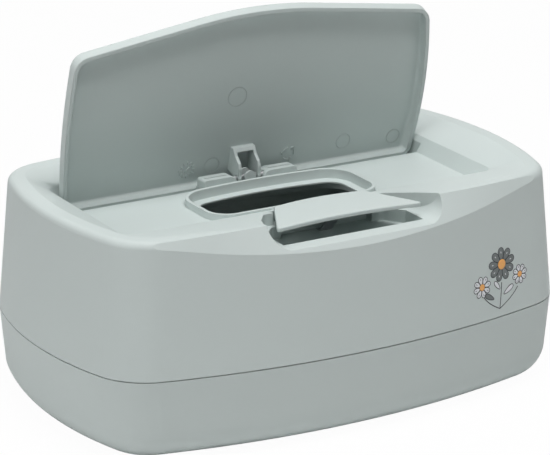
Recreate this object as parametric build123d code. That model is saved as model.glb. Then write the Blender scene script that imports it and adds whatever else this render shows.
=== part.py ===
from build123d import *
import os
from math import cos, radians, sin, tan

os.makedirs("parts", exist_ok=True)

# Baby wipes box: a lower tub, an upper shell that lifts off it for refilling, a spring lid that stands
# open, and a press tab over the finger scoop at the front.
# Millimetres. +X is right, -Y is the front, +Z is up. The origin lies on the table, in the middle of the plan.

# Plan of the body at the seam: four shallow arcs joined by round corners.
half_width = 120.0
front_reach = 80.0
rear_reach = 72.0
front_bow_radius = 374.0
rear_bow_radius = 700.0
side_bow_radius = 168.0
plan_corner_radius = 28.0

# Heights, walls and draft.
seam_height = 38.0
seam_gap = 0.4
shell_top = 97.3
wall = 2.2
border_wall = 2.7
shell_draft = 4.0
shell_side_draft = 5.6
tub_draft = 3.2
tub_edge_radius = 15.0
tub_floor = 2.4
lip_height = 6.0
lip_root = 6.0
lip_wall = 1.8
lip_clearance = 0.4
seam_inset = 0.3
top_edge_radius = 3.2

# Dished top of the shell, and the well that the lid closes into.
dish_border = 7.6
dish_front_border = 14.0
dish_depth = 6.0
well_half_width = 92.0
well_side_draft = 4.0
well_front = 34.0
well_rear = 41.5
well_corner_radius = 5.0
deck_drop = 6.5
deck_wall = 3.0
ramp_run = 13.0
trough_half_width = 90.4
trough_front = 23.0
trough_rear = 39.0
trough_depth = 3.8
trough_inner = 23.8
trough_middle_front = 29.4

# Facet along the top of the front wall.
facet_border = 13.6
facet_drop = 12.8
facet_half_width = 107.0
facet_power = 1.9
facet_least_run = 2.4
facet_least_share = 0.15

# Dispensing opening: a collar, its inside wall and a ledge round the hole.
collar_half_width = 42.3
collar_front = 23.0
collar_rear = 17.6
collar_rear_bow = 3.6
collar_rise = 3.2
collar_wall = 1.6
collar_front_radius = 11.0
collar_rear_radius = 14.0
ledge_width = 4.4
ledge_drop = 4.4
ledge_thickness = 0.8

# Finger scoop in the front, under the press tab.
scoop_half_width = 42.5
scoop_knee = (38.0, 54.0)
scoop_rear_corner = (30.0, 41.5)
scoop_rear = 37.0
scoop_lip_drop = 10.1
scoop_corner_radius = 9.0
pocket_inset = 2.4
pocket_half_width = 34.5
pocket_drop = 3.4
pocket_slope_run = 3.5
lip_width = 8.0

# Press tab: a thin plate on a pin behind the scoop.
tab_top_drop = 3.3
tab_thickness = 1.8
tab_front = 64.2
tab_front_bow = 3.4
tab_rear = 37.4
tab_rear_bow = 2.7
tab_front_half_width = 36.2
tab_rear_half_width = 22.4
tab_side_gap = 2.6
tab_pin_y = -44.6
tab_pin_drop = 4.0
tab_pin_diameter = 1.8
tab_lug_x = 12.0
tab_lug_width = 4.0
tab_ear_x = 17.0
tab_ear_width = 4.0
tab_ear_radius = 1.9
tab_spring_width = 6.0
tab_spring_thickness = 0.4
tab_spring_reach = 9.0

# Lid, a thin bowed tray, measured from the straight line between the ends of its rim:
# s runs from the rear edge to the front, d is the depth behind the rim.
lid_half_width = 91.2
lid_end_half_width = 88.6
lid_length = 85.3
lid_rim_bow = 1.65
lid_depth = 6.4
lid_bow_half_width = 29.0
lid_front_slope = 8.06
lid_corner_radius = 7.5
lid_rear_corner_radius = 4.0
lid_wall = 1.8
lid_flare = 1.6
lid_top_radius = 2.8
lid_inner_radius = 1.2
lid_open_lean = 11.78
catch_slot_depth_at = 4.3
catch_slot_width = 10.0
catch_slot_height = 2.2
catch_slot_depth = 0.6

# Hinge of the lid.
hinge_y = 25.45
hinge_rise = 1.85
hinge_pin_diameter = 2.4
hinge_pin_half_length = 21.5
running_clearance = 0.05
rim_below_hinge = 6.14
rim_behind_hinge = 4.2
block_inner = 7.0
block_outer = 23.5
block_front = 22.0
block_rear = 28.9
block_rise = 4.0
block_groove = 0.9
block_groove_depth = 0.8
block_end_wall = 1.5
block_round = 3.6
cheek_half_gap = 4.1
cheek_wall = 1.5
cheek_eye_radius = 2.5
hood_reach = 18.1
hood_plate = 1.6
slot_inner = 3.3
slot_outer = 6.5
slot_front = 21.0
slot_rear = 29.6

# Silicone spring of the lid: two discs and a web under the pin.
disc_radius = 2.8
disc_thickness = 1.2
disc_front_y = 22.9
disc_rear_y = 28.1
web_height = 0.9
web_width = 2.4


def plan_face(inset, height, front_limit=None):
    """The body's outline, a steady distance inside the seam's, as a face at one height."""
    risen = max(height - seam_height, 0) / (shell_top - seam_height)
    side_centre = half_width - side_bow_radius - risen * (shell_side_draft - shell_draft)
    right = Pos(side_centre, 0) * Circle(side_bow_radius - inset)
    left = Pos(-side_centre, 0) * Circle(side_bow_radius - inset)
    front = Pos(0, front_bow_radius - front_reach) * Circle(front_bow_radius - inset)
    rear = Pos(0, rear_reach - rear_bow_radius) * Circle(rear_bow_radius - inset)
    outline = right & left & front & rear
    if front_limit is not None:
        depth = front_limit + rear_reach
        outline = outline & Pos(0, rear_reach - depth / 2) * Rectangle(4 * half_width, depth)
    outline = fillet(outline.vertices(), plan_corner_radius - inset)
    return Pos(0, 0, height) * outline.faces()[0]


def plan_block(bottom_inset, bottom, top_inset, top):
    """A closed block between two outlines."""
    return loft([plan_face(bottom_inset, bottom), plan_face(top_inset, top)], ruled=True)


def block(x_low, x_high, y_low, y_high, z_low, z_high):
    """A box from its corner values."""
    size = Box(x_high - x_low, y_high - y_low, z_high - z_low, align=Align.MIN)
    return Pos(x_low, y_low, z_low) * size


def both_sides(shape):
    """The shape and its mirror image about the middle plane."""
    return [shape, mirror(shape, Plane.YZ)]


def along_x(points, half_length, centre_x=0.0):
    """A prism along X from points given as (y, z)."""
    outline = Polyline([(0, y, z) for y, z in points], close=True)
    return Pos(centre_x, 0, 0) * extrude(make_face(outline), half_length, dir=(1, 0, 0), both=True)


def rod(y, z, radius, half_length, centre_x=0.0):
    """A round bar along X."""
    return Pos(centre_x, y, z) * Rot(0, 90, 0) * Cylinder(radius, 2 * half_length)


# Values that follow from the ones above.
dish_front = front_reach - dish_front_border
facet_line = front_reach - facet_border
dish_edge = shell_top - dish_depth
deck_height = dish_edge - deck_drop
hinge_z = deck_height + hinge_rise
scoop_lip_height = shell_top - scoop_lip_drop
pocket_floor = deck_height - pocket_drop
tab_top = shell_top - tab_top_drop
tab_pin_z = tab_top - tab_pin_drop
tab_pin_half_length = tab_ear_x + tab_ear_width / 2
shell_bottom = seam_height + seam_gap / 2
tub_top = seam_height - seam_gap / 2
lip_top = seam_height + lip_height


def shell_inset(height):
    """How far the shell's outside stands in from the seam's outline at a height."""
    return seam_inset + shell_draft * (height - seam_height) / (shell_top - seam_height)


def tub_inset(height):
    """How far the tub's outside stands in from the seam's outline at a height."""
    return seam_inset + tub_draft * (seam_height - height) / seam_height


def make_tub():
    """The lower tub, with the lip that the shell fits over."""
    outside = plan_block(tub_inset(0), 0, tub_inset(tub_top), tub_top)
    outside = fillet(outside.faces().sort_by(Axis.Z)[0].edges(), tub_edge_radius)
    hollow_foot = plan_face(tub_inset(tub_floor) + wall, tub_floor)
    hollow_mouth = plan_face(tub_inset(lip_top) + wall, lip_top + 1)
    hollow = loft([hollow_foot, hollow_mouth], ruled=True)
    hollow = fillet(hollow.faces().sort_by(Axis.Z)[0].edges(), tub_edge_radius - wall)
    lip_outside = shell_inset(lip_top) + wall + lip_clearance
    root = plan_block(seam_inset + wall / 2, tub_top - lip_root, seam_inset + wall / 2, tub_top)
    lip = root + plan_block(lip_outside, tub_top, lip_outside, lip_top)
    lip_hole = lip_outside + lip_wall
    chamfer_foot = tub_top - 2 * lip_root
    lip = lip - plan_block(lip_hole, chamfer_foot, lip_hole, lip_top + 1)
    return (outside - hollow) + lip


def dish_cutter():
    """What is cut from the top: a shallow dish that slopes down to the edge of the well."""
    depth = well_front + well_rear
    middle = (well_rear - well_front) / 2
    inner = Pos(0, middle) * Rectangle(2 * well_half_width, depth)
    inner = fillet(inner.vertices(), well_corner_radius)
    inner = Pos(0, 0, dish_edge) * inner.faces()[0]
    rim = shell_inset(shell_top) + dish_border
    outer = plan_face(rim, shell_top, dish_front)
    above = extrude(outer, dish_depth)
    return loft([inner, outer], ruled=True) + above


def well_cutter():
    """The well behind the dish's inner edge, with drafted sides and the ramp down to the deck."""
    depth = well_front + well_rear
    middle = (well_rear - well_front) / 2
    faces = []
    for half, height in ((well_half_width - well_side_draft, deck_height), (well_half_width, dish_edge)):
        outline = Pos(0, middle) * Rectangle(2 * half, depth)
        faces.append(Pos(0, 0, height) * fillet(outline.vertices(), well_corner_radius).faces()[0])
    well = loft(faces, ruled=True) + extrude(faces[1], dish_depth)
    ramp = [(-well_front, deck_height), (-well_front, dish_edge), (ramp_run - well_front, deck_height)]
    return well - along_x(ramp, well_half_width)


def facet_cutter():
    """What is cut from the top of the front wall: a facet, steeper towards its ends."""
    sections = []
    reach = 20.0
    for share in (-1.05, -0.8, -0.55, -0.28, 0, 0.28, 0.55, 0.8, 1.05):
        x = share * facet_half_width
        drop = facet_drop * max(1 - abs(share) ** facet_power, facet_least_share)
        low = shell_top - drop
        wall_y = -(front_reach - shell_inset(low)) + x * x / (2 * front_bow_radius)
        run = max(-facet_line - wall_y, facet_least_run)
        unit = (drop * drop + run * run) ** 0.5
        up_y, up_z = run / unit * reach, drop / unit * reach
        top = (x, wall_y + run + up_y, shell_top + up_z)
        foot = (x, wall_y - up_y, low - up_z)
        outer_foot = (x, foot[1] - reach, foot[2])
        outer_top = (x, foot[1] - reach, top[2])
        sections.append(make_face(Polyline([top, foot, outer_foot, outer_top], close=True)))
    return loft(sections)


def scoop_outline(inset):
    """The scoop seen from above, narrowing towards the rear, with a step under the tab's rear edge."""
    side = scoop_half_width - inset
    knee_x, knee_y = scoop_knee
    corner_x, corner_y = scoop_rear_corner
    step = tab_rear_half_width + tab_side_gap
    points = [(side, -2 * front_reach), (side, -tab_front), (knee_x - inset, -knee_y),
              (corner_x - inset, -corner_y - inset), (step - inset, -corner_y - inset),
              (step - inset, -scoop_rear - inset)]
    points = points + [(-x, y) for x, y in reversed(points)]
    outline = make_face(Polyline(points, close=True))
    bends = outline.vertices().filter_by(lambda v: abs(v.Y) < front_reach and abs(v.X) > step + 1)
    return fillet(bends, 3.0)


def scoop_cutter():
    """The finger scoop: a notch through the front edge and a pocket that slopes down behind its lip."""
    height = 2 * (shell_top - scoop_lip_height)
    profile = Rectangle(2 * scoop_half_width, height)
    profile = fillet(profile.vertices(), scoop_corner_radius)
    notch = extrude(Plane.XZ * Pos(0, shell_top) * profile, 2 * front_reach)
    notch = notch & extrude(scoop_outline(0), 2 * shell_top)
    facet_foot = front_reach - shell_inset(shell_top - facet_drop)
    lip_front = facet_line + scoop_lip_drop * (facet_foot - facet_line) / facet_drop
    lip_rear = lip_front - lip_width
    slope_foot = lip_rear - pocket_slope_run
    side_view = [(-lip_rear, scoop_lip_height), (-slope_foot, pocket_floor), (0, pocket_floor),
                 (0, shell_top), (-lip_rear, shell_top)]
    pocket = extrude(scoop_outline(pocket_inset), 2 * shell_top) & along_x(side_view, pocket_half_width)
    return notch + pocket


def collar_outline(inset):
    """The dispensing opening's outline: square at the front, arched at the rear."""
    side = collar_half_width - inset
    rear = collar_rear - inset
    shoulder = rear - collar_rear_bow
    front = -(collar_front - inset)
    sides = Polyline((-side, shoulder), (-side, front), (side, front), (side, shoulder))
    arch = ThreePointArc((side, shoulder), (0, rear), (-side, shoulder))
    outline = make_face([sides, arch])
    rear_corners = outline.vertices().filter_by(lambda v: v.Y > 0)
    outline = fillet(rear_corners, collar_rear_radius - inset)
    front_corners = outline.vertices().sort_by(Axis.Y)[:2]
    return fillet(front_corners, collar_front_radius - inset)


def hinge_block():
    """One bearing block on the deck, with the groove that holds the pin."""
    length = block_outer - block_inner
    top = deck_height + block_rise
    body = block(block_inner, block_outer, block_front, block_rear, deck_height - 1, top)
    inner_top = body.edges().filter_by(Axis.Y).sort_by(lambda e: e.center().Z - e.center().X)[-1]
    body = fillet(inner_top, block_round)
    outer_top = body.edges().filter_by(Axis.Y).sort_by(lambda e: e.center().Z + e.center().X)[-1]
    body = fillet(outer_top, block_round / 3)
    half = block_groove / 2
    groove_end = block_outer - block_end_wall
    groove_start = block_inner + block_round
    groove = block(groove_start, groove_end, hinge_y - half, hinge_y + half, top - block_groove_depth, top + 1)
    bore = rod(hinge_y, hinge_z, hinge_pin_diameter / 2, length, hinge_pin_half_length - length)
    return body - groove - bore


def make_shell():
    """The upper shell: walls, shoulders, dished top, deck, collar, scoop and hinge blocks."""
    outside = plan_block(shell_inset(shell_bottom), shell_bottom, shell_inset(shell_top), shell_top)
    outside = fillet(outside.faces().sort_by(Axis.Z)[-1].edges(), top_edge_radius)
    outside = outside - dish_cutter() - well_cutter() - facet_cutter()
    outside = outside - scoop_cutter()

    ceiling = pocket_floor - wall
    foot = plan_face(shell_inset(shell_bottom) + wall, shell_bottom - 1)
    cavity = loft([foot, plan_face(shell_inset(ceiling) + wall, ceiling)], ruled=True)
    border_ceiling = dish_edge - deck_wall
    border_low = plan_face(shell_inset(ceiling) + border_wall, ceiling - 1)
    border_high = plan_face(shell_inset(border_ceiling) + border_wall, border_ceiling)
    border = loft([border_low, border_high], ruled=True)
    border = border & block(-half_width, half_width, 2 * wall - facet_line, rear_reach, 0, shell_top)
    inner_side = well_half_width + wall
    border = border - block(-inner_side, inner_side, -well_front - wall, well_rear + wall, 0, shell_top)
    scoop_side = scoop_half_width + 2 * wall
    border = border - block(-scoop_side, scoop_side, -front_reach, 0, 0, shell_top)
    shell = outside - cavity - border

    collar_top = deck_height + collar_rise
    ledge_z = collar_top - ledge_drop
    collar = extrude(Pos(0, 0, deck_height - 1) * collar_outline(0), collar_rise + 1)
    shell = shell + collar
    shell = shell - extrude(Pos(0, 0, ledge_z) * collar_outline(collar_wall), shell_top)
    shell = shell - extrude(collar_outline(collar_wall + ledge_width), shell_top)
    relief = extrude(collar_outline(collar_wall + 1), ledge_z - ledge_thickness)
    shell = shell - relief

    slot = block(slot_inner, slot_outer, slot_front, slot_rear, 0, shell_top)
    trough_floor = deck_height - trough_depth
    trough = block(trough_inner, trough_half_width, trough_front, trough_rear, trough_floor, dish_edge)
    trough_middle = block(-trough_inner - 1, trough_inner + 1, trough_middle_front, trough_rear, trough_floor,
                          dish_edge)
    for cut in both_sides(slot) + both_sides(trough) + [trough_middle]:
        shell = shell - cut
    seat_z = hinge_z + 0.35 - disc_radius
    shell = shell - block(-slot_inner - 0.1, slot_inner + 0.1, slot_front, slot_rear, seat_z, deck_height + 1)
    for piece in both_sides(hinge_block()):
        shell = shell + piece

    for x in (-tab_lug_x, tab_lug_x):
        half = tab_lug_width / 2
        lug = block(x - half, x + half, tab_pin_y, 0.5 - scoop_rear, tab_pin_z - tab_ear_radius,
                    tab_pin_z + tab_pin_diameter)
        shell = shell + lug + rod(tab_pin_y, tab_pin_z, tab_ear_radius, half, x)
    return shell - rod(tab_pin_y, tab_pin_z, tab_pin_diameter / 2, tab_pin_half_length)


def lid_place(shape):
    """Moves a shape from the lid's own frame, (x, s, d), to where the open lid stands."""
    lean = radians(lid_open_lean)
    along = Vector(0, -sin(lean), cos(lean))
    behind = Vector(0, cos(lean), sin(lean))
    origin = Vector(0, hinge_y, hinge_z) - along * rim_below_hinge + behind * rim_behind_hinge
    return Plane(origin=origin, x_dir=(1, 0, 0), z_dir=behind * -1).location * (Rot(0, 0, 0) * shape)


def lid_outline(inset, depth):
    """The lid's outline at a depth behind the rim; the front leans out by the flare."""
    side = lid_end_half_width - inset
    bulge = lid_half_width - inset
    middle = lid_length - inset + lid_flare * depth / lid_depth
    slope = radians(lid_front_slope)
    bow_radius = lid_bow_half_width / sin(slope)
    bow_end = middle - bow_radius * (1 - cos(slope))
    corner = bow_end - (side - lid_bow_half_width) * tan(slope)
    edges = [
        Line((-side, inset), (side, inset)),
        ThreePointArc((side, inset), (bulge, corner / 2), (side, corner)),
        Line((side, corner), (lid_bow_half_width, bow_end)),
        ThreePointArc((lid_bow_half_width, bow_end), (0, middle), (-lid_bow_half_width, bow_end)),
        Line((-lid_bow_half_width, bow_end), (-side, corner)),
        ThreePointArc((-side, corner), (-bulge, corner / 2), (-side, inset)),
    ]
    outline = make_face(edges)
    corners = outline.vertices().filter_by(lambda v: abs(v.X) > side - 1 and v.Y > side / 2)
    outline = fillet(corners, lid_corner_radius - inset)
    rear_corners = outline.vertices().sort_by(Axis.Y)[:2]
    outline = fillet(rear_corners, lid_rear_corner_radius - inset)
    return Pos(0, 0, -depth) * outline.faces()[0]


def lid_bend(depth):
    """A cylinder along X; its surface runs through the lid at a depth behind the bowed rim."""
    radius = (lid_length ** 2 / 4 + lid_rim_bow ** 2) / (2 * lid_rim_bow)
    return rod(lid_length / 2, lid_rim_bow - radius, radius - depth, 2 * lid_half_width)


def make_lid():
    """The lid: a thin bowed tray with a hinge bracket on its inside."""
    before, behind = -lid_rim_bow - 1, lid_depth + 1
    tray = loft([lid_outline(0, before), lid_outline(0, behind)], ruled=True)
    tray = (tray & lid_bend(0)) - lid_bend(lid_depth)
    tray = fillet(tray.faces().sort_by(Axis.Z)[0].edges(), lid_top_radius)
    inner_depth = lid_depth - lid_wall
    hollow = loft([lid_outline(lid_wall, before), lid_outline(lid_wall, lid_depth)], ruled=True)
    hollow = hollow - lid_bend(inner_depth)
    hollow = fillet(hollow.faces().sort_by(Axis.Z)[0].edges(), lid_inner_radius)
    lid = tray - hollow

    pin_s, pin_z = rim_below_hinge, rim_behind_hinge
    cheek_outer = cheek_half_gap + cheek_wall
    root_z = 0.1 - inner_depth
    side_view = [(hood_reach - 0.4, root_z), (hood_reach, -1.0), (hood_reach - 2.8, 1.3),
                 (hood_reach - 4.9, 4.7), (hood_reach - 7.2, 5.9), (pin_s + 0.2, 6.3),
                 (pin_s - 0.3, 1.3), (pin_s + 0.1, root_z)]
    bracket = along_x(side_view, cheek_outer)
    bracket = bracket + rod(pin_s, pin_z, cheek_eye_radius, cheek_outer)
    space = block(-cheek_half_gap, cheek_half_gap, -9, hood_reach - hood_plate, 1 - inner_depth, 9)
    lid = lid + (bracket - space)
    lid = lid - rod(pin_s, pin_z, hinge_pin_diameter / 2 + running_clearance, 2 * cheek_outer)
    slot_s = lid_length + lid_flare * catch_slot_depth_at / lid_depth
    half = catch_slot_height / 2
    slot = block(-catch_slot_width / 2, catch_slot_width / 2, slot_s - catch_slot_depth, slot_s + 5,
                 -catch_slot_depth_at - half, half - catch_slot_depth_at)
    return lid_place(lid - slot)


def make_tab():
    """The press tab: a thin plate with two ears on its pin."""
    rear_side = tab_rear_half_width
    side = tab_front_half_width
    front = ThreePointArc((-side, -tab_front), (0, tab_front_bow - tab_front), (side, -tab_front))
    rear = ThreePointArc((rear_side, -tab_rear), (0, tab_rear_bow - tab_rear), (-rear_side, -tab_rear))
    right = Line((side, -tab_front), (rear_side, -tab_rear))
    left = Line((-rear_side, -tab_rear), (-side, -tab_front))
    outline = make_face([front, right, rear, left])
    outline = fillet(outline.vertices(), 1.2)
    plate = extrude(Pos(0, 0, tab_top - tab_thickness) * outline, tab_thickness)
    plate = fillet(plate.faces().sort_by(Axis.Z)[-1].edges(), 0.6)
    underside = tab_top - tab_thickness
    for x in (-tab_ear_x, tab_ear_x):
        half = tab_ear_width / 2
        ear = block(x - half, x + half, tab_pin_y - tab_ear_radius, tab_pin_y + tab_ear_radius, tab_pin_z,
                    underside + 0.5)
        plate = plate + ear + rod(tab_pin_y, tab_pin_z, tab_ear_radius, half, x)
    bore = rod(tab_pin_y, tab_pin_z, tab_pin_diameter / 2 + running_clearance, side)
    return plate - bore


def make_tab_spring():
    """A bent steel strip that lifts the tab: it stands on the pocket's floor."""
    foot_rear = -scoop_rear - pocket_inset - 0.8
    foot_front = foot_rear - 3.0
    top = tab_top - tab_thickness - 0.3
    thick = tab_spring_thickness
    tip = foot_front - tab_spring_reach
    side_view = [(foot_rear, pocket_floor), (foot_front, pocket_floor), (tip, top - thick),
                 (tip - 1.5, top - thick), (tip - 1.5, top), (tip + thick, top),
                 (foot_front + thick, pocket_floor + thick), (foot_rear, pocket_floor + thick)]
    return along_x(side_view, tab_spring_width / 2)


def make_lid_spring():
    """The silicone spring between the bracket's cheeks."""
    centre_z = hinge_z + 0.35
    spring = None
    for y in (disc_front_y, disc_rear_y):
        disc = Pos(0, y, centre_z) * Rot(90, 0, 0) * Cylinder(disc_radius, disc_thickness)
        spring = disc if spring is None else spring + disc
    low = centre_z - disc_radius
    web = block(-web_width / 2, web_width / 2, disc_front_y, disc_rear_y, low, low + web_height)
    return spring + web


pieces = {
    "base_tub": make_tub(),
    "upper_shell": make_shell(),
    "lid": make_lid(),
    "press_tab": make_tab(),
    "hinge_pin": rod(hinge_y, hinge_z, hinge_pin_diameter / 2, hinge_pin_half_length),
    "lid_spring": make_lid_spring(),
    "tab_pin": rod(tab_pin_y, tab_pin_z, tab_pin_diameter / 2, tab_pin_half_length),
    "tab_spring": make_tab_spring(),
}
for name, shape in pieces.items():
    export_step(shape, f"parts/{name}.step")
    print(name, len(shape.solids()), round(shape.volume), shape.bounding_box())
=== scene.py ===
# %% [markdown]
# # A baby wipes box in pale grey-green plastic
# The frame holds the solid pieces: tub, shell, lid, press tab, pins and springs. This lesson dresses them:
# a camera where the photographer stood, soft studio light, moulded plastic, and the small raised marks and
# the print that are too fine for the solids.

# %% Load the frame
import math

import bmesh
import bpy
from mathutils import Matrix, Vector
from mathutils.bvhtree import BVHTree


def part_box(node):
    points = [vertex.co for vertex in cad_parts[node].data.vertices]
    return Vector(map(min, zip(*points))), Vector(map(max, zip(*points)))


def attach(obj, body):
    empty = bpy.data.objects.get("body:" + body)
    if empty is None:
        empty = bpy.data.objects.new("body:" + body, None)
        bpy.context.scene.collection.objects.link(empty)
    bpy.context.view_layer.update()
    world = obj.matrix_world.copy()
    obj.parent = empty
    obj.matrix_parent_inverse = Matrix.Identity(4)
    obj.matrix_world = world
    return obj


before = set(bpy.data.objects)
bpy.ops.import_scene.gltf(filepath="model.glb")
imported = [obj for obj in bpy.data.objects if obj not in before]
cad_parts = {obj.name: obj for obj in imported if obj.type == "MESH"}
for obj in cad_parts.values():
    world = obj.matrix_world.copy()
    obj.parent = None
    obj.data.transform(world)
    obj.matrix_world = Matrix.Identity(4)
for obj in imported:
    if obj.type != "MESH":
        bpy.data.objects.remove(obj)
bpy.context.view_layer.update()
MM = 0.001
print("frame nodes:", sorted(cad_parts))

# %% [markdown]
# ## Camera
# A product photo like this one is taken from far off with a long lens, so that parallel edges stay almost
# parallel. The place, direction and lens below came from matching the box's own corners to the picture.

# %% Camera
PHOTO_SIZE = (550, 455)
CAMERA_AT = Vector((-625.3, -1085.6, 493.8)) * MM
LOOK_ALONG = Vector((0.4726, 0.8209, -0.3206))
LENS = 196.0


def make_camera():
    data = bpy.data.cameras.new("camera")
    data.sensor_width = 36.0
    data.lens = LENS
    data.clip_start = 0.05
    camera = bpy.data.objects.new("camera", data)
    camera.location = CAMERA_AT
    camera.rotation_euler = LOOK_ALONG.to_track_quat("-Z", "Y").to_euler()
    bpy.context.collection.objects.link(camera)
    bpy.context.scene.camera = camera
    return camera


camera = make_camera()
print("camera: lens", LENS, "mm for a picture of", PHOTO_SIZE)

# %% [markdown]
# ## Studio
# The picture has one big soft light overhead, a little in front of the box, weaker ones behind and at the
# left, and a white table that throws light back up. That is why the top surfaces are bright, the walls are
# middle grey and the inside of the lid, which leans over the deck, falls off into shade. The world is white
# to the camera and in reflections but almost dark as a light, and the floor glows for the camera alone, so
# the background stays clean while the box keeps its shades.

# %% Light and floor
bpy.context.scene.view_settings.view_transform = "Standard"
ROOM_LIGHT = 0.02
FLOOR_SIZE = 3.0
FLOOR_BELOW = 0.0002
FLOOR_GLOW = 0.97
AIM = (0, 0, 0.05)


def new_material(name):
    material = bpy.data.materials.new(name)
    material.use_nodes = True
    material.node_tree.nodes.clear()
    return material, material.node_tree.nodes, material.node_tree.links


def make_world():
    world = bpy.data.worlds.new("studio")
    world.use_nodes = True
    nodes, links = world.node_tree.nodes, world.node_tree.links
    nodes.clear()
    room = nodes.new("ShaderNodeBackground")
    room.inputs["Color"].default_value = (0.95, 0.97, 1.0, 1.0)
    room.inputs["Strength"].default_value = ROOM_LIGHT
    white = nodes.new("ShaderNodeBackground")
    white.inputs["Strength"].default_value = 1.0
    path = nodes.new("ShaderNodeLightPath")
    seen_or_mirrored = nodes.new("ShaderNodeMath")
    seen_or_mirrored.operation = "MAXIMUM"
    any_of_three = nodes.new("ShaderNodeMath")
    any_of_three.operation = "MAXIMUM"
    mix = nodes.new("ShaderNodeMixShader")
    out = nodes.new("ShaderNodeOutputWorld")
    links.new(path.outputs["Is Camera Ray"], seen_or_mirrored.inputs[0])
    links.new(path.outputs["Is Glossy Ray"], seen_or_mirrored.inputs[1])
    links.new(seen_or_mirrored.outputs[0], any_of_three.inputs[0])
    links.new(path.outputs["Is Transmission Ray"], any_of_three.inputs[1])
    links.new(any_of_three.outputs[0], mix.inputs["Fac"])
    links.new(room.outputs[0], mix.inputs[1])
    links.new(white.outputs[0], mix.inputs[2])
    links.new(mix.outputs[0], out.inputs["Surface"])
    bpy.context.scene.world = world


def soft_light(name, place, side, power):
    """A square softbox that faces the box."""
    data = bpy.data.lights.new(name, "AREA")
    data.shape = "SQUARE"
    data.size = side
    data.energy = power
    lamp = bpy.data.objects.new(name, data)
    lamp.location = place
    lamp.rotation_euler = (Vector(AIM) - Vector(place)).to_track_quat("-Z", "Y").to_euler()
    bpy.context.collection.objects.link(lamp)


def make_floor():
    mesh = bpy.data.meshes.new("floor")
    half = FLOOR_SIZE / 2
    corners = [(-half, -half, 0), (half, -half, 0), (half, half, 0), (-half, half, 0)]
    mesh.from_pydata(corners, [], [(0, 1, 2, 3)])
    floor = bpy.data.objects.new("floor", mesh)
    floor.location.z = -FLOOR_BELOW
    bpy.context.collection.objects.link(floor)
    material, nodes, links = new_material("floor_white")
    paint = nodes.new("ShaderNodeBsdfDiffuse")
    paint.inputs["Color"].default_value = (0.86, 0.86, 0.86, 1.0)
    glow = nodes.new("ShaderNodeEmission")
    glow.inputs["Strength"].default_value = 1.0
    path = nodes.new("ShaderNodeLightPath")
    share = nodes.new("ShaderNodeMath")
    share.operation = "MULTIPLY"
    share.inputs[1].default_value = FLOOR_GLOW
    mix = nodes.new("ShaderNodeMixShader")
    out = nodes.new("ShaderNodeOutputMaterial")
    links.new(path.outputs["Is Camera Ray"], share.inputs[0])
    links.new(share.outputs[0], mix.inputs["Fac"])
    links.new(paint.outputs[0], mix.inputs[1])
    links.new(glow.outputs[0], mix.inputs[2])
    links.new(mix.outputs[0], out.inputs["Surface"])
    mesh.materials.append(material)


make_world()
make_floor()
soft_light("overhead_softbox", (0.0, -0.4, 1.5), 0.8, 19.5)
soft_light("rear_softbox", (0.1, 0.8, 1.3), 1.0, 3.5)
soft_light("left_softbox", (-1.3, -0.1, 0.9), 1.0, 6.5)
print("studio: three softboxes, a dim room and a white floor")

# %% [markdown]
# ## Moulded plastic
# The box is a matt polypropylene. What makes it look real at this size is small: a very fine grain from the
# mould, a slow drift in colour, and edges that the mould rounds by a few tenths of a millimetre. Grain and
# drift are used by every plastic piece, so they are one node group with its own values in each material.

# %% Plastic surface group
CLOUD_SCALE = 18.0
ROUGHNESS = (0.46, 0.58)
GRAIN_HEIGHT = 0.0002


def group_socket(tree, name, kind, in_out, value=None):
    socket = tree.interface.new_socket(name=name, in_out=in_out, socket_type=kind)
    if value is not None:
        socket.default_value = value
    return socket


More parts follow.
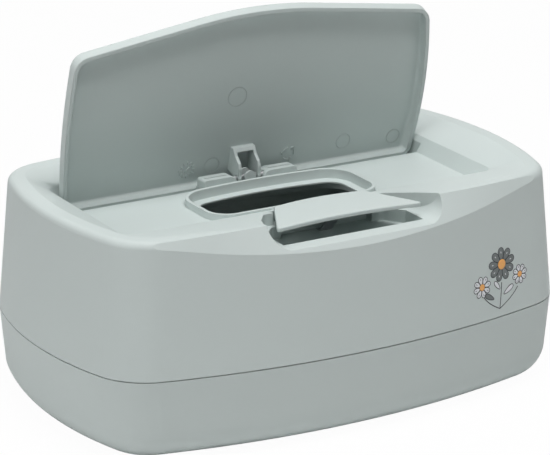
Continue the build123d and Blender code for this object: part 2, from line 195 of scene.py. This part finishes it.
def moulded_group():
    tree = bpy.data.node_groups.new("moulded_surface", "ShaderNodeTree")
    group_socket(tree, "Colour", "NodeSocketColor", "INPUT")
    group_socket(tree, "Drift", "NodeSocketFloat", "INPUT", 0.03)
    group_socket(tree, "Grain Size", "NodeSocketFloat", "INPUT", 2500.0)
    group_socket(tree, "Grain Depth", "NodeSocketFloat", "INPUT", 0.05)
    group_socket(tree, "Edge Radius", "NodeSocketFloat", "INPUT", 0.0005)
    group_socket(tree, "Base", "NodeSocketColor", "OUTPUT")
    group_socket(tree, "Rough", "NodeSocketFloat", "OUTPUT")
    group_socket(tree, "Normal", "NodeSocketVector", "OUTPUT")
    nodes, links = tree.nodes, tree.links
    inside = nodes.new("NodeGroupInput")
    outside = nodes.new("NodeGroupOutput")
    place = nodes.new("ShaderNodeTexCoord")

    cloud = nodes.new("ShaderNodeTexNoise")
    cloud.inputs["Scale"].default_value = CLOUD_SCALE
    cloud.inputs["Detail"].default_value = 3.0
    links.new(place.outputs["Object"], cloud.inputs["Vector"])
    centred = nodes.new("ShaderNodeMath")
    centred.operation = "SUBTRACT"
    centred.inputs[1].default_value = 0.5
    links.new(cloud.outputs["Fac"], centred.inputs[0])
    swing = nodes.new("ShaderNodeMath")
    swing.operation = "MULTIPLY_ADD"
    swing.inputs[2].default_value = 1.0
    links.new(centred.outputs[0], swing.inputs[0])
    links.new(inside.outputs["Drift"], swing.inputs[1])
    tint = nodes.new("ShaderNodeVectorMath")
    tint.operation = "SCALE"
    links.new(inside.outputs["Colour"], tint.inputs[0])
    links.new(swing.outputs[0], tint.inputs["Scale"])
    links.new(tint.outputs[0], outside.inputs["Base"])

    grain = nodes.new("ShaderNodeTexNoise")
    grain.inputs["Detail"].default_value = 2.0
    links.new(place.outputs["Object"], grain.inputs["Vector"])
    links.new(inside.outputs["Grain Size"], grain.inputs["Scale"])
    rough = nodes.new("ShaderNodeMapRange")
    rough.inputs["To Min"].default_value, rough.inputs["To Max"].default_value = ROUGHNESS
    links.new(cloud.outputs["Fac"], rough.inputs["Value"])
    links.new(rough.outputs[0], outside.inputs["Rough"])

    round_edge = nodes.new("ShaderNodeBevel")
    round_edge.samples = 4
    links.new(inside.outputs["Edge Radius"], round_edge.inputs["Radius"])
    bump = nodes.new("ShaderNodeBump")
    bump.inputs["Distance"].default_value = GRAIN_HEIGHT
    links.new(inside.outputs["Grain Depth"], bump.inputs["Strength"])
    links.new(grain.outputs["Fac"], bump.inputs["Height"])
    links.new(round_edge.outputs[0], bump.inputs["Normal"])
    links.new(bump.outputs[0], outside.inputs["Normal"])
    return tree


MOULDED = moulded_group()
print("group:", MOULDED.name, "with", len(MOULDED.nodes), "nodes")

# %% Plastic materials
SAGE = (0.565, 0.625, 0.612)


def plastic(name, colour, drift=0.03, grain_depth=0.05, edge=0.0005, specular=0.4):
    material, nodes, links = new_material(name)
    surface = nodes.new("ShaderNodeGroup")
    surface.node_tree = MOULDED
    surface.inputs["Colour"].default_value = (*colour, 1.0)
    surface.inputs["Drift"].default_value = drift
    surface.inputs["Grain Depth"].default_value = grain_depth
    surface.inputs["Edge Radius"].default_value = edge
    shader = nodes.new("ShaderNodeBsdfPrincipled")
    shader.inputs["Specular IOR Level"].default_value = specular
    out = nodes.new("ShaderNodeOutputMaterial")
    links.new(surface.outputs["Base"], shader.inputs["Base Color"])
    links.new(surface.outputs["Rough"], shader.inputs["Roughness"])
    links.new(surface.outputs["Normal"], shader.inputs["Normal"])
    links.new(shader.outputs[0], out.inputs["Surface"])
    return material


def dress(node, material):
    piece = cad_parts[node]
    piece.data.materials.clear()
    piece.data.materials.append(material)


shell_plastic = plastic("shell_plastic", SAGE)
lid_plastic = plastic("lid_plastic", SAGE, edge=0.0007)
tub_plastic = plastic("tub_plastic", SAGE)
tab_plastic = plastic("tab_plastic", SAGE, grain_depth=0.02, edge=0.0004)
silicone = plastic("silicone", (0.5, 0.55, 0.54), drift=0.02, grain_depth=0.0, edge=0.0002)
for node, material in (
    ("upper_shell", shell_plastic),
    ("lid", lid_plastic),
    ("base_tub", tub_plastic),
    ("press_tab", tab_plastic),
    ("lid_spring", silicone),
):
    dress(node, material)
print("plastic on five pieces")

# %% [markdown]
# ## Steel
# The two pins are drawn wire and the strip under the tab is rolled spring steel. Little of them shows, but
# drawing and rolling leave fine streaks along the metal, and those streaks are what makes it read as steel
# and not as grey paint. A noise squeezed along X gives them, in a group that both steels use.

# %% Steel surface group and materials
STREAK_STRETCH = (40.0, 1400.0, 1400.0)
STREAK_SHADES = (0.86, 1.1)
STREAK_ROUGHNESS = 0.15
STREAK_HEIGHT = 0.00005


def streaked_group():
    tree = bpy.data.node_groups.new("streaked_metal", "ShaderNodeTree")
    group_socket(tree, "Colour", "NodeSocketColor", "INPUT")
    group_socket(tree, "Dullness", "NodeSocketFloat", "INPUT", 0.3)
    group_socket(tree, "Base", "NodeSocketColor", "OUTPUT")
    group_socket(tree, "Rough", "NodeSocketFloat", "OUTPUT")
    group_socket(tree, "Normal", "NodeSocketVector", "OUTPUT")
    nodes, links = tree.nodes, tree.links
    inside = nodes.new("NodeGroupInput")
    outside = nodes.new("NodeGroupOutput")
    place = nodes.new("ShaderNodeTexCoord")
    stretch = nodes.new("ShaderNodeVectorMath")
    stretch.operation = "MULTIPLY"
    stretch.inputs[1].default_value = STREAK_STRETCH
    links.new(place.outputs["Object"], stretch.inputs[0])
    streak = nodes.new("ShaderNodeTexNoise")
    streak.inputs["Scale"].default_value = 1.0
    streak.inputs["Detail"].default_value = 2.0
    links.new(stretch.outputs[0], streak.inputs["Vector"])
    shade = nodes.new("ShaderNodeMapRange")
    shade.inputs["To Min"].default_value, shade.inputs["To Max"].default_value = STREAK_SHADES
    links.new(streak.outputs["Fac"], shade.inputs["Value"])
    tint = nodes.new("ShaderNodeVectorMath")
    tint.operation = "SCALE"
    links.new(inside.outputs["Colour"], tint.inputs[0])
    links.new(shade.outputs[0], tint.inputs["Scale"])
    links.new(tint.outputs[0], outside.inputs["Base"])
    rough = nodes.new("ShaderNodeMath")
    rough.operation = "MULTIPLY_ADD"
    rough.inputs[1].default_value = STREAK_ROUGHNESS
    links.new(streak.outputs["Fac"], rough.inputs[0])
    links.new(inside.outputs["Dullness"], rough.inputs[2])
    links.new(rough.outputs[0], outside.inputs["Rough"])
    bump = nodes.new("ShaderNodeBump")
    bump.inputs["Strength"].default_value = 0.2
    bump.inputs["Distance"].default_value = STREAK_HEIGHT
    links.new(streak.outputs["Fac"], bump.inputs["Height"])
    links.new(bump.outputs[0], outside.inputs["Normal"])
    return tree


STREAKED = streaked_group()


def steel(name, colour, dullness):
    material, nodes, links = new_material(name)
    surface = nodes.new("ShaderNodeGroup")
    surface.node_tree = STREAKED
    surface.inputs["Colour"].default_value = (*colour, 1.0)
    surface.inputs["Dullness"].default_value = dullness
    shader = nodes.new("ShaderNodeBsdfPrincipled")
    shader.inputs["Metallic"].default_value = 1.0
    out = nodes.new("ShaderNodeOutputMaterial")
    links.new(surface.outputs["Base"], shader.inputs["Base Color"])
    links.new(surface.outputs["Rough"], shader.inputs["Roughness"])
    links.new(surface.outputs["Normal"], shader.inputs["Normal"])
    links.new(shader.outputs[0], out.inputs["Surface"])
    return material


pin_steel = steel("pin_steel", (0.6, 0.61, 0.62), 0.22)
spring_steel = steel("spring_steel", (0.5, 0.51, 0.53), 0.3)
for node, material in (("hinge_pin", pin_steel), ("tab_pin", pin_steel), ("tab_spring", spring_steel)):
    dress(node, material)
print("steel on the two pins and the spring strip")

# %% [markdown]
# ## Raised marks inside the lid
# A mould leaves its marks on the face that nobody looks at: a dial whose pointer gives the date, a ring of
# three arrows, and faint circles where the ejector pins push the part out. They stand only tenths of a
# millimetre proud, yet light that grazes the plate picks them out. Each is a low ridge swept along a path,
# and a ray cast on the lid finds every point of the path, so the marks sit on the plate whatever its slope.

# %% Ridges laid on a surface
RAY_START = 0.05
RIDGE_PROFILE = ((-0.5, 0.0), (-0.36, 0.7), (0.0, 1.0), (0.36, 0.7), (0.5, 0.0))
SINK = 0.05


class Surface:
    """The skin of one solid, which rays from the front find."""

    def __init__(self, node):
        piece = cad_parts[node]
        corners = [v.co.copy() for v in piece.data.vertices]
        self.tree = BVHTree.FromPolygons(corners, [tuple(p.vertices) for p in piece.data.polygons])
        self.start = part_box(node)[0][1] - RAY_START

    def at(self, x, z):
        """The point and the outward normal that a ray along +Y meets at x and z, in millimetres."""
        point, normal, _, _ = self.tree.ray_cast(Vector((x * MM, self.start, z * MM)), Vector((0, 1, 0)))
        if normal.y > 0:
            normal = -normal
        return point, normal


def add_ridge(mesh, path, width, height, closed=False):
    """Adds a low rounded ridge to a bmesh, along (x, z) points on a surface that are given with normals."""
    rings = []
    count = len(path)
    for i, (point, normal) in enumerate(path):
        before = path[(i - 1) % count if closed else max(i - 1, 0)][0]
        after = path[(i + 1) % count if closed else min(i + 1, count - 1)][0]
        side = (after - before).normalized().cross(normal).normalized()
        ring = []
        for across, up in RIDGE_PROFILE:
            lift = height * up if up else -SINK
            ring.append(mesh.verts.new(point + side * across * width * MM + normal * lift * MM))
        rings.append(ring)
    last = count if closed else count - 1
    for i in range(last):
        here, there = rings[i], rings[(i + 1) % count]
        for j in range(len(RIDGE_PROFILE)):
            k = (j + 1) % len(RIDGE_PROFILE)
            mesh.faces.new((here[j], here[k], there[k], there[j]))
    if not closed:
        mesh.faces.new(rings[0][::-1])
        mesh.faces.new(rings[-1])


def piece_from(mesh, name, material, body):
    """Turns a bmesh into a smooth piece that rides on a body."""
    bmesh.ops.recalc_face_normals(mesh, faces=mesh.faces)
    data = bpy.data.meshes.new(name)
    mesh.to_mesh(data)
    mesh.free()
    data.materials.append(material)
    for face in data.polygons:
        face.use_smooth = True
    piece = bpy.data.objects.new(name, data)
    bpy.context.collection.objects.link(piece)
    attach(piece, body)
    return piece


def around(centre, radius, turn):
    """The point (x, z) at a radius from a centre, with the turn in radians."""
    return centre[0] + radius * math.cos(turn), centre[1] + radius * math.sin(turn)


def arc(centre, radius, start, stop, steps):
    """Points (x, z) on an arc, with angles in degrees."""
    turns = [math.radians(start + (stop - start) * i / steps) for i in range(steps + 1)]
    return [around(centre, radius, turn) for turn in turns]


def straight(start, stop, steps=3):
    """Points (x, z) on a line, ends included."""
    return [tuple(a + (b - a) * i / steps for a, b in zip(start, stop)) for i in range(steps + 1)]


LID_PLATE = Surface("lid")
print("lid plate at the middle:", [round(v / MM, 1) for v in LID_PLATE.at(0, 120)[0]])

# %% Dial, ring mark and ejector circles
# Each ridge's pair is its width and height. An ejector circle is its x, its z and its radius.
DIAL_AT = (-26.8, 91.7)
DIAL_TICKS = 12
TICK_REACH = (2.5, 4.1)
TICK_RIDGE = (0.5, 0.4)
POINTER_REACH = (1.1, 1.2)
POINTER_RIDGE = (0.55, 0.42)
RING_AT = (25.3, 91.5)
RING_RADIUS = 3.1
ARROW_STARTS = (100, 220, 340)
ARROW_SPAN = 88
ARROW_RIDGE = (0.7, 0.42)
BARB_RADII = (2.1, 4.1)
BARB_TURN = 0.45
BARB_RIDGE = (0.45, 0.38)
EJECTOR_RIDGE = (0.5, 0.05)
EJECTORS = ((-5.1, 124.3, 4.6), (-14.2, 91.8, 3.8), (54.1, 92.8, 3.6), (81.2, 91.0, 3.4))


def laid(points, surface):
    """The points on a surface, each with its normal."""
    return [surface.at(x, z) for x, z in points]


dial = bmesh.new()
for tick in range(DIAL_TICKS):
    turn = math.tau * tick / DIAL_TICKS
    inner, outer = [around(DIAL_AT, radius, turn) for radius in TICK_REACH]
    add_ridge(dial, laid(straight(inner, outer), LID_PLATE), *TICK_RIDGE)
pointer_tail = [at - reach for at, reach in zip(DIAL_AT, POINTER_REACH)]
pointer_tip = [at + reach for at, reach in zip(DIAL_AT, POINTER_REACH)]
add_ridge(dial, laid(straight(pointer_tail, pointer_tip), LID_PLATE), *POINTER_RIDGE)
piece_from(dial, "lid_date_dial", lid_plastic, "lid")

ring_mark = bmesh.new()
for start in ARROW_STARTS:
    bow = arc(RING_AT, RING_RADIUS, start, start + ARROW_SPAN, 8)
    add_ridge(ring_mark, laid(bow, LID_PLATE), *ARROW_RIDGE)
    tip = math.radians(start + ARROW_SPAN)
    for radius in BARB_RADII:
        barb = straight(around(RING_AT, radius, tip - BARB_TURN), around(RING_AT, RING_RADIUS, tip))
        add_ridge(ring_mark, laid(barb, LID_PLATE), *BARB_RIDGE)
piece_from(ring_mark, "lid_ring_mark", lid_plastic, "lid")

ejectors = bmesh.new()
for x, z, radius in EJECTORS:
    circle = arc((x, z), radius, 0, 360, 40)[:-1]
    add_ridge(ejectors, laid(circle, LID_PLATE), *EJECTOR_RIDGE, closed=True)
piece_from(ejectors, "lid_ejector_circles", lid_plastic, "lid")
print("marks on the lid:", DIAL_TICKS, "ticks,", len(ARROW_STARTS), "arrows,", len(EJECTORS), "circles")

# %% [markdown]
# ## The print on the front
# The wall's right end has a small print. Ink on plastic is a film a few hundredths of a millimetre thick.
# It could be painted in the shell's material, but flat patches of mesh keep its edges crisp at any size of
# picture. A patch is a fan of rings round its middle, and each point is cast on the bowed wall, so the
# patch bends with it.
# The motif is a plain posy: grey and white daisies with orange hearts, leaves and dark outlines.

# %% Patches of ink
SHELL_WALL = Surface("upper_shell")
PATCH_RINGS = 3


def ink(name, colour, mottle):
    """Ink with a faint screen-print mottle."""
    material, nodes, links = new_material(name)
    place = nodes.new("ShaderNodeTexCoord")
    speck = nodes.new("ShaderNodeTexNoise")
    speck.inputs["Scale"].default_value = 1800.0
    links.new(place.outputs["Object"], speck.inputs["Vector"])
    shade = nodes.new("ShaderNodeMapRange")
    shade.inputs["To Min"].default_value = 1.0 - mottle
    shade.inputs["To Max"].default_value = 1.0 + mottle
    links.new(speck.outputs["Fac"], shade.inputs["Value"])
    tint = nodes.new("ShaderNodeVectorMath")
    tint.operation = "SCALE"
    tint.inputs[0].default_value = colour
    links.new(shade.outputs[0], tint.inputs["Scale"])
    shader = nodes.new("ShaderNodeBsdfPrincipled")
    shader.inputs["Roughness"].default_value = 0.42
    out = nodes.new("ShaderNodeOutputMaterial")
    links.new(tint.outputs[0], shader.inputs["Base Color"])
    links.new(shader.outputs[0], out.inputs["Surface"])
    return material


def add_patch(mesh, centre, outline, height):
    """Adds a closed film over an outline that its middle sees whole."""
    point, normal = SHELL_WALL.at(*centre)
    middle = mesh.verts.new(point + normal * height * MM)
    heart = mesh.verts.new(point - normal * SINK * MM)
    rings = []
    for share in range(1, PATCH_RINGS + 2):
        scale = min(share, PATCH_RINGS) / PATCH_RINGS
        lift = height if share <= PATCH_RINGS else -SINK
        ring = []
        for x, z in outline:
            place = (centre[0] + (x - centre[0]) * scale, centre[1] + (z - centre[1]) * scale)
            spot, up = SHELL_WALL.at(*place)
            ring.append(mesh.verts.new(spot + up * lift * MM))
        rings.append(ring)
    count = len(outline)
    for i in range(count):
        j = (i + 1) % count
        mesh.faces.new((middle, rings[0][i], rings[0][j]))
        for inner, outer in zip(rings, rings[1:]):
            mesh.faces.new((inner[i], outer[i], outer[j], inner[j]))
        mesh.faces.new((rings[-1][i], heart, rings[-1][j]))


def petal(root, turn, length, width, steps=16):
    """A rounded petal or leaf: its middle and its outline, from its root and its direction in degrees."""
    turn = math.radians(turn)
    along = (math.cos(turn), math.sin(turn))
    outline = []
    for i in range(steps):
        a = math.tau * i / steps
        forward = length * (0.5 + 0.5 * math.cos(a))
        aside = width / 2 * math.sin(a) * (0.75 + 0.25 * math.cos(a))
        outline.append((root[0] + along[0] * forward - along[1] * aside,
                        root[1] + along[1] * forward + along[0] * aside))
    middle = (root[0] + along[0] * length / 2, root[1] + along[1] * length / 2)
    return middle, outline


# %% The posy
DAISIES = (
    {"at": (72.5, 61.5), "petals": 9, "reach": 7.6, "width": 4.3, "colour": "grey"},
    {"at": (60.8, 53.6), "petals": 8, "reach": 4.9, "width": 3.0, "colour": "white"},
    {"at": (83.4, 54.6), "petals": 8, "reach": 4.4, "width": 2.8, "colour": "white"},
)
STEM_FOOT = (71.0, 41.8)
# Each leaf is the x and z of its root, its direction in degrees, its length, its width and its colour.
LEAVES = (
    (67.6, 46.8, 150, 6.0, 2.8, "grey"),
    (73.6, 47.8, 28, 6.4, 2.9, "white"),
    (71.2, 50.6, 128, 5.0, 2.4, "white"),
)
HEART_SHARE = 0.3
ROOT_SHARE = 0.85
FIRST_PETAL = 14
FLECK_SHARE = 0.55
FLECK_LENGTH, FLECK_WIDTH = 1.0, 0.5
STEM_STEPS, STEM_WIDTH = 12, 0.5
films = {"grey": bmesh.new(), "white": bmesh.new(), "orange": bmesh.new()}
outlines = bmesh.new()
FILM, OVERPRINT, HEART_FILM = 0.03, 0.03, 0.07
LINE, LINE_WIDTH = 0.07, 0.42


def draw_shape(colour, middle, outline, height=FILM):
    add_patch(films[colour], middle, outline, height)
    add_ridge(outlines, laid(outline, SHELL_WALL), LINE_WIDTH, LINE, closed=True)


def draw_stem(top, below, clear):
    """A stem that bends to the common foot; it starts outside the flower's petals."""
    path = []
    for i in range(STEM_STEPS + 1):
        t = i / STEM_STEPS
        across = (STEM_FOOT[0] - top[0]) * t * t
        down = (STEM_FOOT[1] - top[1] + below) * t
        path.append((top[0] + across, top[1] - below + down))
    path = [point for point in path if math.dist(point, top) > clear]
    add_ridge(outlines, laid(path, SHELL_WALL), STEM_WIDTH, LINE)


def draw_petal(daisy, heart, degrees):
    """One petal, with a fleck of the other colour on it."""
    turn = math.radians(degrees)
    root = around(daisy["at"], heart * ROOT_SHARE, turn)
    length = daisy["reach"] - heart * ROOT_SHARE
    draw_shape(daisy["colour"], *petal(root, degrees, length, daisy["width"]))
    fleck = around(root, (daisy["reach"] - heart) * FLECK_SHARE, turn)
    other = "white" if daisy["colour"] == "grey" else "grey"
    outline = petal(fleck, degrees, FLECK_LENGTH, FLECK_WIDTH, 8)[1]
    add_patch(films[other], fleck, outline, FILM + OVERPRINT)


for daisy in DAISIES:
    heart = daisy["reach"] * HEART_SHARE
    draw_stem(daisy["at"], heart, daisy["reach"])
    for k in range(daisy["petals"]):
        draw_petal(daisy, heart, 360 * k / daisy["petals"] + FIRST_PETAL)
    disc = arc(daisy["at"], heart, 0, 360, 20)[:-1]
    draw_shape("orange", daisy["at"], disc, HEART_FILM)
for x, z, turn, length, width, colour in LEAVES:
    draw_shape(colour, *petal((x, z), turn, length, width))

inks = {
    "grey": ink("ink_grey", (0.16, 0.18, 0.18), 0.15),
    "white": ink("ink_white", (0.78, 0.79, 0.82), 0.06),
    "orange": ink("ink_orange", (0.86, 0.42, 0.12), 0.15),
    "dark": ink("ink_dark", (0.02, 0.025, 0.03), 0.2),
}
for colour, mesh in films.items():
    piece_from(mesh, f"print_{colour}", inks[colour], "shell")
piece_from(outlines, "print_outlines", inks["dark"], "shell")
print("print:", len(DAISIES), "daisies and", len(LEAVES), "leaves")
